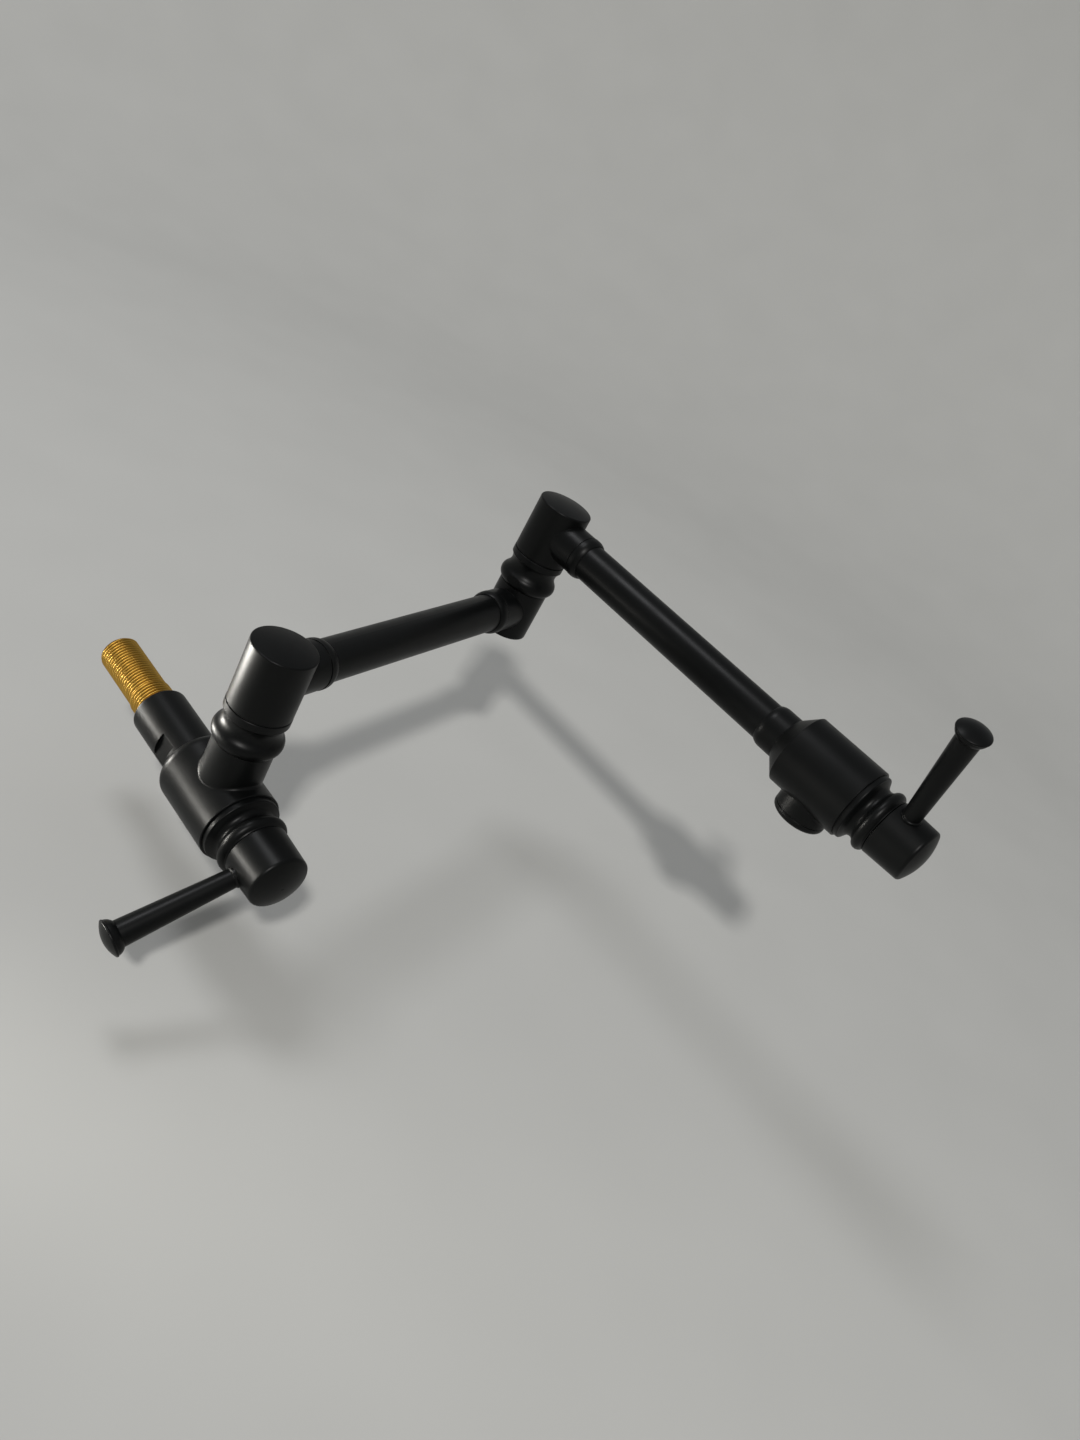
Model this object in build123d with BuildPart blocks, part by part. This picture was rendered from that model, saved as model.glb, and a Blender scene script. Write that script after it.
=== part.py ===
"""Wall mounted pot filler: two quarter-turn valves joined by two swinging arms.

Millimetres. The wall's face is the XZ plane and the inlet runs along Y, with the wall at +Y.
The origin is where the inlet's axis meets the wall's face. +Z is up, along both swivels.
"""
from build123d import *
import os
from math import acos, atan2, cos, degrees, radians, sin, sqrt

# ---------------------------------------------------------------- driving dimensions
# Clearances
running = 0.05        # radial play of a turning shaft in its hole
seated = 0.05         # radial play of a piece that is screwed or pressed in
air = 0.3             # gap between faces that pass each other
axial_play = 0.05     # end play of a turning joint
overrun = 1.0         # how far a cut starts outside the metal

# Pose of the arms and levers, in degrees
arm_1_angle = 14.6        # from +X towards the wall
arm_2_angle = -87.2       # from +X, so away from the wall
main_lever_angle = 204.4  # round the valve, from its right-hand side as seen from the front
outlet_lever_angle = 106.3

# Inlet nipple, a half inch parallel pipe thread
thread_radius = 10.48
thread_pitch = 25.4 / 14
thread_depth = 1.16
thread_ridges = 20         # past the wall's face
shoulder_step = 0.62       # the threaded shoulder that the wall's fitting stops against stands proud
shoulder_length = 11.15    # between the wall's face and the adaptor
nipple_bore = 7.5
nipple_engagement = 16.0   # length screwed into the adaptor
nipple_chamfer = 1.0

# Inlet adaptor
adaptor_radius = 14.3
adaptor_length = 39.75
adaptor_edge = 1.4
adaptor_bore = 7.5
adaptor_spigot_radius = 11.0
adaptor_spigot_gap = 0.9   # between its end and the valve's seat wall
flats_across = 25.2
flats_length = 10.8
flats_from_body = 4.1
flats_tilt = 3.4           # turn of the flats about the inlet axis

# Valve bodies
body_radius = 20.8
body_edge = 0.35
front_length = 20.3        # branch axis to front rim
rear_length = 26.6         # branch axis to rear face
rear_step = 0.5            # rear face's edge outside the adaptor
foot_fillet = 1.5
branch_radius = 15.3
branch_height = 37.7       # inlet axis to the swivel's seam
branch_bore = 6.5
valve_seat_depth = 27.0    # front rim to the seat
valve_seat_wall = 4.0
valve_port_radius = 6.0
chamber_radius = 11.8
gland_radius = 13.0
gland_depth = 8.5

# Cartridge, drawn from the front rim
cartridge_wall = 0.75
disc_radius = 8.0
disc_thickness = 3.0
disc_port_radius = 2.3
disc_port_offset = 4.6
seal_thickness = 1.6
seal_bore = 6.2
stem_radius = 4.5
stem_flange = 3.0
stem_length = 30.0         # past the front rim
stem_flat = 3.4            # stem axis to the flat that the lever's root meets
window_width = 7.0
window_length = 6.0
cartridge_flange = 2.5
cartridge_neck_radius = 7.6
cartridge_neck_length = 15.2
nut_thread_radius = 11.0
nut_thread_length = 6.0
nut_hexagon = 18.0
nut_hexagon_length = 3.5

# O-rings: section radius
large_ring_section = 0.9
stem_ring_section = 0.65
stem_ring_height = 4.0

# Bonnet between a valve body and its handle
bonnet_rim_step = 1.2      # inside the valve's front rim
bonnet_rim_height = 3.0
bonnet_rim_round = 0.7
bonnet_neck = 15.0
bonnet_neck_height = 6.9
bonnet_cove = 3.0
bonnet_cove_start = 17.0
bonnet_bead = 18.0
bonnet_bead_round = 3.2
bonnet_top = 15.8
bonnet_top_radius = 15.7
bonnet_bead_end = 16.0

# Handle hub
hub_radius = 16.0
hub_taper = 0.6
hub_shoulder = 36.3        # front rim to the start of the rounded end
hub_edge = 2.1
hub_dome = 34.0

# Lever, drawn from the hub's axis
lever_height = 23.8
lever_thread_radius = 4.0
lever_recess = 1.4         # depth of the seat in the hub
lever_ring_radius = 5.4
lever_ring_proud = 0.3
lever_radius = 4.85
lever_end_radius = 6.45
lever_end = 70.6
lever_tip_radius = 9.1
lever_flare_length = 3.6
lever_tip_edge = 0.7
lever_tip_dome = 17.0
lever_tip_flare = 5.4

# Swivel union, drawn from its seam
union_height = 21.7        # seam to the underside of the head above
union_bead_proud = 2.35    # outside the branch below
union_bead_round = 5.1
union_bead_height = 4.6
union_neck_inset = 0.8     # inside the branch below
union_cove = 7.0
union_flare = 1.8          # neck to lip
union_edge = 0.3
union_stub_radius = 11.0
union_stub_length = 7.0
union_seal_thickness = 1.5
union_seal_bore = 8.0
union_flat_depth = 0.75
spigot_radius = 10.0
spigot_wall = 3.5
spigot_height = 29.6       # above the head's underside
spigot_port_radius = 4.3
spigot_ports = (45, 135)   # turns of the two crossed drillings
groove_width = 2.4
low_ring_height = 6.5      # above the head's underside
high_ring_height = 24.9
clip_height = 27.7
clip_thickness = 1.2
clip_proud = 0.9           # outside the spigot
clip_seat = 1.4            # inside the spigot
clip_gap = 3.0
washer_thickness = 1.0
washer_width = 3.0

# Swivel heads and arms
head_step = 0.1            # head inside the union's lip
head_height = 34.1
head_edge = 0.8
head_dome = 75.0
head_bore_depth = 30.2
head_chamber_width = 2.2
head_chamber_height = 12.0
arm_height = 17.1          # above the head's underside
arm_passage = 5.9
collar_wall = 1.6
collar_groove = 0.3
collar_groove_start = 26.3
collar_groove_width = 0.6
collar_ring_proud = 0.25
collar_ring_end = 28.8
collar_end = 33.0
collar_lip = 0.3
socket_bottom = 19.0       # swivel axis to the end of the tube
tube_radius = 11.0
tube_wall = 1.8
elbow_reach = 214.6        # first swivel to second
elbow_half_height = 15.7   # arm axis to either end of the lower cylinder
elbow_edge = 0.9
elbow_dome = 60.0
elbow_seat_wall = 0.7      # between the union's seat and the arm's passage

# Outlet valve, on the second arm
outlet_reach = 218.4       # second swivel to the outlet's axis
outlet_from_front = 21.5
outlet_body_length = 42.4
outlet_passage = 7.5
outlet_collar_start = 63.4 # front rim to the collar's lip
outlet_collar_round = 4.3
outlet_socket_end = 47.9   # front rim to the end of the tube
outlet_radius = 14.7
outlet_boss_proud = 3.6    # below the valve's round body, down to the aerator's seam
outlet_bore = 5.5
outlet_fillet = 1.0
aerator_thread_radius = 12.0
aerator_thread_length = 9.0
aerator_height = 4.1       # seam to the lowest face
aerator_edge = 2.6
aerator_bore = 10.0
aerator_mouth = 9.0
aerator_lip = 2.0
aerator_insert_height = 6.0
aerator_hole_radius = 0.7
aerator_hole_pitch = 2.6
aerator_hole_rows = 5
aerator_seam = 0.3
aerator_washer_thickness = 1.5
aerator_washer_ledge = 1.0  # inside the housing's bore

# ---------------------------------------------------------------- derived places
up = Vector(0, 0, 1)


def level(angle):
    """A level direction at an angle from +X."""
    return Vector(cos(radians(angle)), sin(radians(angle)), 0)


arm_1_way = level(arm_1_angle)
arm_2_way = level(arm_2_angle)
arm_2_side = level(arm_2_angle + 90)

body_offset = shoulder_length + adaptor_length + rear_length
body_centre = Vector(0, -body_offset, 0)
main_front = Plane(origin=body_centre - Vector(0, front_length, 0), x_dir=(1, 0, 0), z_dir=(0, -1, 0))

lower_seam = Plane(origin=body_centre + up * branch_height, x_dir=(0, 1, 0), z_dir=up)
lower_head = Plane(origin=lower_seam.origin + up * union_height, x_dir=arm_1_way, z_dir=up)
elbow_centre = lower_head.origin + up * arm_height + arm_1_way * elbow_reach
upper_seam = Plane(origin=elbow_centre + up * elbow_half_height, x_dir=-arm_1_way, z_dir=up)
upper_head = Plane(origin=upper_seam.origin + up * union_height, x_dir=arm_2_way, z_dir=up)
arm_2_start = upper_head.origin + up * arm_height
outlet_front = Plane(
    origin=arm_2_start + arm_2_way * (outlet_reach + outlet_from_front), x_dir=arm_2_side, z_dir=arm_2_way
)
outlet_centre = arm_2_start + arm_2_way * outlet_reach
outlet_down = Plane(origin=outlet_centre, x_dir=arm_2_side, z_dir=-up)

shoulder_radius = thread_radius + shoulder_step
adaptor_spigot_length = front_length + rear_length - valve_seat_depth - valve_seat_wall - adaptor_spigot_gap
rear_round = body_radius - adaptor_radius - rear_step
cartridge_radius = disc_radius + running + cartridge_wall
bonnet_rim_radius = body_radius - bonnet_rim_step
hub_end_radius = hub_radius - hub_taper
lever_root = hub_radius - lever_recess
lever_ring_end = hub_radius + lever_ring_proud
lever_tip = lever_end + lever_flare_length
union_bead = branch_radius + union_bead_proud
union_neck = branch_radius - union_neck_inset
union_lip = union_neck + union_flare
head_radius = union_lip - head_step
clip_radius = spigot_radius + clip_proud
clip_bore = spigot_radius - clip_seat
washer_radius = spigot_radius + washer_width
head_chamber_radius = spigot_radius + head_chamber_width
collar_radius = tube_radius + collar_wall
collar_ring_radius = collar_radius + collar_ring_proud
fixed_disc_back = -valve_seat_depth + seal_thickness
moving_disc_back = fixed_disc_back + disc_thickness + axial_play
stem_back = moving_disc_back + disc_thickness
stem_shoulder = stem_back + stem_flange
spigot_bore = spigot_radius - spigot_wall
spigot_groove = spigot_radius - 2 * large_ring_section - seated
adaptor_groove = adaptor_spigot_radius - 2 * large_ring_section - seated
outlet_boss_depth = body_radius + outlet_boss_proud
aerator_bottom = outlet_boss_depth + aerator_height


# ---------------------------------------------------------------- helpers
def outline_plane(seat):
    """The plane of a turned outline: X runs out from the seat's axis and Y runs along it."""
    return Plane(origin=seat.origin, x_dir=seat.x_dir, z_dir=-seat.y_dir)


def turning_axis(seat):
    """The seat's own axis."""
    return Axis(seat.origin, seat.z_dir)


def across(seat, height):
    """The plane that faces along the seat's X, at a height on its axis."""
    return Plane(origin=seat.origin + seat.z_dir * height, x_dir=seat.y_dir, z_dir=seat.x_dir)


def tilted(seat, height, angle):
    """The plane that faces out from the seat's axis at an angle round it, at a height on it."""
    out = seat.x_dir * cos(radians(angle)) + seat.y_dir * sin(radians(angle))
    return Plane(origin=seat.origin + seat.z_dir * height, x_dir=seat.z_dir, z_dir=out)


def domed_end(radius, shoulder, edge, dome):
    """The rounded rim and the dome that close a turned end, from the wall to the axis."""
    drop = sqrt((dome - edge) ** 2 - (radius - edge) ** 2)
    meet = degrees(atan2(drop, radius - edge))
    rim = CenterArc((radius - edge, shoulder), edge, 0, meet)
    crown = CenterArc((0, shoulder - drop), dome, meet, 90 - meet)
    return rim, crown


def bead_and_cove(bead, bead_round, neck, cove):
    """Where a round bead runs smoothly into a hollow neck: both centres, their rise and the angle."""
    bead_centre = bead - bead_round
    neck_centre = neck + cove
    angle = acos((neck_centre - bead_centre) / (bead_round + cove))
    return bead_centre, neck_centre, (bead_round + cove) * sin(angle), degrees(angle)


def thread_outline(crest, start, ridges):
    """Points of the half inch pipe thread, with flat crests and roots, from start onwards."""
    flat = thread_pitch / 6
    slope = thread_pitch / 2 - flat
    points = []
    for ridge in range(ridges):
        low = start + ridge * thread_pitch
        points.append((crest, low))
        points.append((crest, low + flat))
        points.append((crest - thread_depth, low + flat + slope))
        points.append((crest - thread_depth, low + 2 * flat + slope))
    points.append((crest, start + ridges * thread_pitch))
    return points


def o_ring(seat, height, centre_radius, section):
    """A rubber ring lying in its groove."""
    with BuildPart() as ring:
        with BuildSketch(outline_plane(seat)):
            with Locations((centre_radius, height)):
                Circle(section)
        revolve(axis=turning_axis(seat))
    return ring


def flat_ring(seat, bottom, thickness, outer, inner):
    """A flat washer."""
    with BuildPart() as ring:
        with BuildSketch(seat.offset(bottom)):
            Circle(outer)
            Circle(inner, mode=Mode.SUBTRACT)
        extrude(amount=thickness)
    return ring


# ---------------------------------------------------------------- the valves' shared pieces
def valve_bore(front):
    """Hollow a valve body: gland, chamber, seat and port."""
    with BuildSketch(outline_plane(front)) as hollow:
        with BuildLine():
            Polyline(
                (0, overrun),
                (gland_radius, overrun),
                (gland_radius, -gland_depth),
                (chamber_radius, -gland_depth),
                (chamber_radius, -valve_seat_depth),
                (valve_port_radius, -valve_seat_depth),
                (valve_port_radius, -valve_seat_depth - valve_seat_wall),
                (0, -valve_seat_depth - valve_seat_wall),
                close=True,
            )
        make_face()
    revolve(hollow.sketch, axis=turning_axis(front), mode=Mode.SUBTRACT)


def stem_ring(front):
    """The small O-ring in the spindle's groove."""
    return o_ring(front, stem_ring_height, stem_radius - stem_ring_section, stem_ring_section)


def bonnet(front):
    """The turned trim ring over the gland: a rim, a hollow neck and a bead."""
    bead_centre, neck_centre, rise, angle = bead_and_cove(
        bonnet_bead, bonnet_bead_round, bonnet_neck, bonnet_cove
    )
    start = degrees(acos((neck_centre - bonnet_cove_start) / bonnet_cove))
    stop = degrees(acos((bonnet_bead_end - bead_centre) / bonnet_bead_round))
    brow_height = bonnet_rim_height - bonnet_rim_round
    nut_end = nut_thread_length + nut_hexagon_length + air
    with BuildPart() as ring:
        with BuildSketch(outline_plane(front)):
            with BuildLine():
                rim = Polyline(
                    (nut_thread_radius + seated, 0),
                    (bonnet_rim_radius, 0),
                    (bonnet_rim_radius, brow_height),
                )
                brow = CenterArc(
                    (bonnet_rim_radius - bonnet_rim_round, brow_height), bonnet_rim_round, 0, 90
                )
                cove = CenterArc(
                    (neck_centre, bonnet_neck_height), bonnet_cove, 180 + start, -(start + angle)
                )
                Line(brow @ 1, cove @ 0)
                bead = CenterArc(
                    (bead_centre, bonnet_neck_height + rise), bonnet_bead_round, -angle, angle + stop
                )
                Polyline(
                    bead @ 1,
                    (bonnet_top_radius, bonnet_top),
                    (cartridge_neck_radius + air, bonnet_top),
                    (cartridge_neck_radius + air, nut_end),
                    (nut_thread_radius + seated, nut_end),
                    rim @ 0,
                )
            make_face()
        revolve(axis=turning_axis(front))
    return ring


def cartridge_housing(front):
    """The brass shell that holds the discs: flange, nose with side windows, and stem guide."""
    with BuildPart() as shell:
        with BuildSketch(outline_plane(front)):
            with BuildLine():
                Polyline(
                    (disc_radius + running, air - valve_seat_depth),
                    (cartridge_radius, air - valve_seat_depth),
                    (cartridge_radius, -gland_depth),
                    (gland_radius - seated, -gland_depth),
                    (gland_radius - seated, cartridge_flange - gland_depth),
                    (cartridge_neck_radius, cartridge_flange - gland_depth),
                    (cartridge_neck_radius, cartridge_neck_length),
                    (stem_radius + running, cartridge_neck_length),
                    (stem_radius + running, stem_shoulder + air),
                    (disc_radius + running, stem_shoulder + air),
                    close=True,
                )
            make_face()
        revolve(axis=turning_axis(front))
        with BuildSketch(across(front, moving_disc_back + disc_thickness)):
            Rectangle(window_width, window_length)
        extrude(amount=cartridge_radius + overrun, both=True, mode=Mode.SUBTRACT)
    return shell


def ported_disc(front, back, angle):
    """A polished ceramic disc with two round ports at an angle round the axis."""
    with BuildPart() as disc:
        with BuildSketch(front.offset(back)):
            Circle(disc_radius)
            with PolarLocations(disc_port_offset, 2, start_angle=angle):
                Circle(disc_port_radius, mode=Mode.SUBTRACT)
        extrude(amount=disc_thickness)
    return disc


def cartridge_stem(front, lever_angle):
    """The spindle: a driving flange over the moving disc and a flatted end in the hub."""
    flat = tilted(front, lever_height, lever_angle)
    with BuildPart() as stem:
        with BuildSketch(front.offset(stem_back)):
            Circle(disc_radius)
            with PolarLocations(disc_port_offset, 2, start_angle=90):
                Circle(disc_port_radius, mode=Mode.SUBTRACT)
        extrude(amount=stem_flange)
        with BuildSketch(front.offset(stem_shoulder)):
            Circle(stem_radius)
        extrude(amount=stem_length - stem_shoulder)
        with BuildSketch(outline_plane(front)):
            with Locations((stem_radius, stem_ring_height)):
                Rectangle(2 * (2 * stem_ring_section + seated), groove_width)
        revolve(axis=turning_axis(front), mode=Mode.SUBTRACT)
        with BuildSketch(flat.offset(stem_flat)):
            Rectangle(2 * (lever_thread_radius + air), 2 * stem_radius)
        extrude(amount=stem_radius, mode=Mode.SUBTRACT)
    return stem


def cartridge_nut(front):
    """The gland nut that clamps the cartridge's flange and carries the bonnet's thread."""
    with BuildPart() as nut:
        with BuildSketch(outline_plane(front)):
            with BuildLine():
                Polyline(
                    (cartridge_neck_radius + air, cartridge_flange - gland_depth),
                    (gland_radius - seated, cartridge_flange - gland_depth),
                    (gland_radius - seated, -air),
                    (nut_thread_radius, -air),
                    (nut_thread_radius, nut_thread_length),
                    (cartridge_neck_radius + air, nut_thread_length),
                    close=True,
                )
            make_face()
        revolve(axis=turning_axis(front))
        with BuildSketch(front.offset(nut_thread_length)):
            RegularPolygon(nut_hexagon / 2, 6, major_radius=False)
            Circle(cartridge_neck_radius + air, mode=Mode.SUBTRACT)
        extrude(amount=nut_hexagon_length)
    return nut


def handle_hub(front, lever_angle):
    """The round knob that carries the lever, with a domed end and a hole for the stem."""
    lever_seat = tilted(front, lever_height, lever_angle)
    with BuildPart() as hub:
        with BuildSketch(outline_plane(front)):
            with BuildLine():
                wall = Polyline(
                    (stem_radius + seated, bonnet_top + air),
                    (hub_radius - body_edge, bonnet_top + air),
                    (hub_radius, bonnet_top + air + body_edge),
                    (hub_end_radius, hub_shoulder),
                )
                rim, crown = domed_end(hub_end_radius, hub_shoulder, hub_edge, hub_dome)
                Polyline(
                    crown @ 1,
                    (0, stem_length + air),
                    (stem_radius + seated, stem_length + air),
                    wall @ 0,
                )
            make_face()
        revolve(axis=turning_axis(front))
        with BuildSketch(lever_seat):
            Circle(lever_thread_radius + seated)
        extrude(amount=hub_radius, mode=Mode.SUBTRACT)
        with BuildSketch(lever_seat.offset(lever_root)):
            Circle(lever_ring_radius + seated)
        extrude(amount=hub_radius, mode=Mode.SUBTRACT)
    return hub


def lever(front, lever_angle):
    """The tapered rod: a threaded root, a small ring, a flared tip and a low domed end."""
    seat = tilted(front, lever_height, lever_angle)
    with BuildPart() as rod:
        with BuildSketch(outline_plane(seat)):
            with BuildLine():
                root = Polyline(
                    (0, stem_flat + seated),
                    (lever_thread_radius, stem_flat + seated),
                    (lever_thread_radius, lever_root),
                    (lever_ring_radius, lever_root),
                    (lever_ring_radius, lever_ring_end - body_edge),
                    (lever_ring_radius - body_edge, lever_ring_end),
                    (lever_radius, lever_ring_end + body_edge),
                    (lever_end_radius, lever_end),
                )
                flare = RadiusArc(root @ 1, (lever_tip_radius - body_edge, lever_tip), -lever_tip_flare)
                Polyline(
                    flare @ 1,
                    (lever_tip_radius, lever_tip + body_edge),
                    (lever_tip_radius, lever_tip + lever_tip_edge),
                )
                rim, crown = domed_end(
                    lever_tip_radius, lever_tip + lever_tip_edge, lever_tip_edge, lever_tip_dome
                )
                Line(crown @ 1, root @ 0)
            make_face()
        revolve(axis=turning_axis(seat))
    return rod


# ---------------------------------------------------------------- the swivels' shared pieces
def swivel_union(seam):
    """A screwed-in union: bead, hollow neck and lip outside, and a ported spigot above."""
    bead_centre, neck_centre, rise, angle = bead_and_cove(
        union_bead, union_bead_round, union_neck, union_cove
    )
    sink = degrees(acos((branch_radius - bead_centre) / union_bead_round))
    flare = degrees(acos((neck_centre - union_lip) / union_cove))
    top = union_height + spigot_height
    with BuildPart() as union:
        with BuildSketch(outline_plane(seam)):
            with BuildLine():
                foot = Polyline(
                    (0, -union_stub_length),
                    (union_stub_radius, -union_stub_length),
                    (union_stub_radius, 0),
                    (branch_radius - union_edge, 0),
                )
                bead = CenterArc((bead_centre, union_bead_height), union_bead_round, -sink, sink + angle)
                Line(foot @ 1, bead @ 0)
                cove = CenterArc(
                    (neck_centre, union_bead_height + rise), union_cove, 180 + angle, -(angle + flare)
                )
                Polyline(
                    cove @ 1,
                    (union_lip, union_height - air - union_edge),
                    (union_lip - union_edge, union_height - air),
                    (spigot_radius, union_height - air),
                    (spigot_radius, top - union_edge),
                    (spigot_radius - union_edge, top),
                    (0, top),
                    foot @ 0,
                )
            make_face()
        revolve(axis=turning_axis(seam))
        with BuildSketch(seam.offset(-union_stub_length)):
            Circle(spigot_bore)
        bore_top = union_height + arm_height + spigot_port_radius
        extrude(amount=union_stub_length + bore_top, mode=Mode.SUBTRACT)
        for turn in spigot_ports:
            with BuildSketch(tilted(seam, union_height + arm_height, turn)):
                Circle(spigot_port_radius)
            extrude(amount=spigot_radius + overrun, both=True, mode=Mode.SUBTRACT)
        with BuildSketch(outline_plane(seam)):
            for height in (low_ring_height, high_ring_height):
                with Locations((spigot_radius, union_height + height)):
                    Rectangle(2 * (spigot_radius - spigot_groove), groove_width)
            with Locations((spigot_radius, union_height + clip_height)):
                Rectangle(2 * (spigot_radius - clip_bore + seated), clip_thickness + 2 * seated)
        revolve(axis=turning_axis(seam), mode=Mode.SUBTRACT)
        with BuildSketch(across(seam, union_bead_height).offset(union_bead - union_flat_depth)):
            Rectangle(2 * union_bead, 2 * union_bead_round)
        extrude(amount=union_bead, mode=Mode.SUBTRACT)
    return union


def union_socket(seam, bore, depth):
    """Cut the socket for a union's stub and seal, and the bore below it."""
    with BuildSketch(seam) as way:
        Circle(bore)
    extrude(way.sketch, amount=-depth, mode=Mode.SUBTRACT)
    with BuildSketch(seam) as socket:
        Circle(union_stub_radius + seated)
    extrude(socket.sketch, amount=-union_stub_length - union_seal_thickness, mode=Mode.SUBTRACT)


def spigot_rings(seam):
    """The two O-rings that seal the spigot, above and below its ports."""
    with BuildPart() as rings:
        with BuildSketch(outline_plane(seam)):
            for height in (low_ring_height, high_ring_height):
                with Locations((spigot_radius - large_ring_section, union_height + height)):
                    Circle(large_ring_section)
        revolve(axis=turning_axis(seam))
    return rings


def union_seal(seam):
    """The flat rubber washer under the union's stub."""
    bottom = -union_stub_length - union_seal_thickness
    return flat_ring(seam, bottom, union_seal_thickness, union_stub_radius, union_seal_bore)


def thrust_washer(seam):
    """The plastic washer that the head turns on."""
    return flat_ring(seam, union_height - air, washer_thickness, washer_radius, spigot_radius + seated)


def retaining_ring(seam):
    """A split spring ring that locks the head on the spigot."""
    height = union_height + clip_height
    with BuildPart() as clip:
        with BuildSketch(seam.offset(height - clip_thickness / 2)):
            Circle(clip_radius)
            Circle(clip_bore, mode=Mode.SUBTRACT)
            with Locations((clip_radius, 0)):
                Rectangle(2 * (clip_radius - clip_bore) + clip_gap, clip_gap, mode=Mode.SUBTRACT)
        extrude(amount=clip_thickness)
    return clip


def collar(arm):
    """Add the collar round a tube's end, turned about the arm from the swivel's axis outwards."""
    with BuildSketch(outline_plane(arm)) as outline:
        with BuildLine():
            sleeve = Polyline(
                (0, 0),
                (collar_radius, 0),
                (collar_radius, collar_groove_start),
                (collar_radius - collar_groove, collar_groove_start),
                (collar_radius - collar_groove, collar_groove_start + collar_groove_width),
                (collar_ring_radius, collar_groove_start + collar_groove_width),
                (collar_ring_radius, collar_ring_end),
            )
            nose = TangentArc(
                sleeve @ 1, (tube_radius + seated + collar_lip, collar_end), tangent=(0, 1)
            )
            Polyline(nose @ 1, (0, collar_end), sleeve @ 0)
        make_face()
    revolve(outline.sketch, axis=turning_axis(arm))


def tube_socket(arm, passage):
    """Cut the socket for the tube's end and the passage behind it."""
    with BuildSketch(arm) as way:
        Circle(passage)
    extrude(way.sketch, amount=socket_bottom, mode=Mode.SUBTRACT)
    with BuildSketch(arm.offset(socket_bottom)) as socket:
        Circle(tube_radius + seated)
    extrude(socket.sketch, amount=collar_end, mode=Mode.SUBTRACT)


def swivel_head(seat):
    """The domed cylinder that turns on a spigot, with the collar of its arm."""
    arm = across(seat, arm_height)
    with BuildPart() as head:
        with BuildSketch(outline_plane(seat)):
            with BuildLine():
                wall = Polyline(
                    (0, 0),
                    (head_radius - union_edge, 0),
                    (head_radius, union_edge),
                    (head_radius, head_height - head_edge),
                )
                rim, crown = domed_end(head_radius, head_height - head_edge, head_edge, head_dome)
                Line(crown @ 1, wall @ 0)
            make_face()
        revolve(axis=turning_axis(seat))
        collar(arm)
        with BuildSketch(outline_plane(seat)):
            with BuildLine():
                Polyline(
                    (0, -overrun),
                    (washer_radius + air, -overrun),
                    (washer_radius + air, washer_thickness - air + axial_play),
                    (spigot_radius + running, washer_thickness - air + axial_play),
                    (spigot_radius + running, arm_height - head_chamber_height / 2),
                    (head_chamber_radius, arm_height - head_chamber_height / 2),
                    (head_chamber_radius, arm_height + head_chamber_height / 2),
                    (spigot_radius + running, arm_height + head_chamber_height / 2),
                    (spigot_radius + running, clip_height - clip_thickness / 2 - air),
                    (clip_radius + air, clip_height - clip_thickness / 2 - air),
                    (clip_radius + air, clip_height + clip_thickness / 2 + air),
                    (spigot_radius + running, clip_height + clip_thickness / 2 + air),
                    (spigot_radius + running, head_bore_depth),
                    (0, head_bore_depth),
                    close=True,
                )
            make_face()
        revolve(axis=turning_axis(seat), mode=Mode.SUBTRACT)
        tube_socket(arm, arm_passage)
    return head


def arm_tube(start, way, length):
    """The straight tube between two collars."""
    with BuildPart() as tube:
        with BuildSketch(Plane(origin=start, x_dir=up, z_dir=way)):
            Circle(tube_radius)
            Circle(tube_radius - tube_wall, mode=Mode.SUBTRACT)
        extrude(amount=length)
    return tube


# ---------------------------------------------------------------- inlet
inlet_seat = Plane(origin=(0, 0, 0), x_dir=(1, 0, 0), z_dir=(0, 1, 0))
adaptor_rear = -shoulder_length
adaptor_front = adaptor_rear - adaptor_length
nipple_start = adaptor_rear - nipple_engagement
shoulder_ridges = int(-nipple_start / thread_pitch)
thread_length = thread_ridges * thread_pitch + nipple_chamfer

with BuildPart() as inlet_nipple:
    with BuildSketch(outline_plane(inlet_seat)):
        with BuildLine():
            Polyline(
                (nipple_bore, nipple_start),
                *thread_outline(shoulder_radius, nipple_start, shoulder_ridges),
                (shoulder_radius, 0),
                *thread_outline(thread_radius, 0, thread_ridges),
                (thread_radius - nipple_chamfer, thread_length),
                (nipple_bore, thread_length),
                close=True,
            )
        make_face()
    revolve(axis=turning_axis(inlet_seat))

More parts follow.
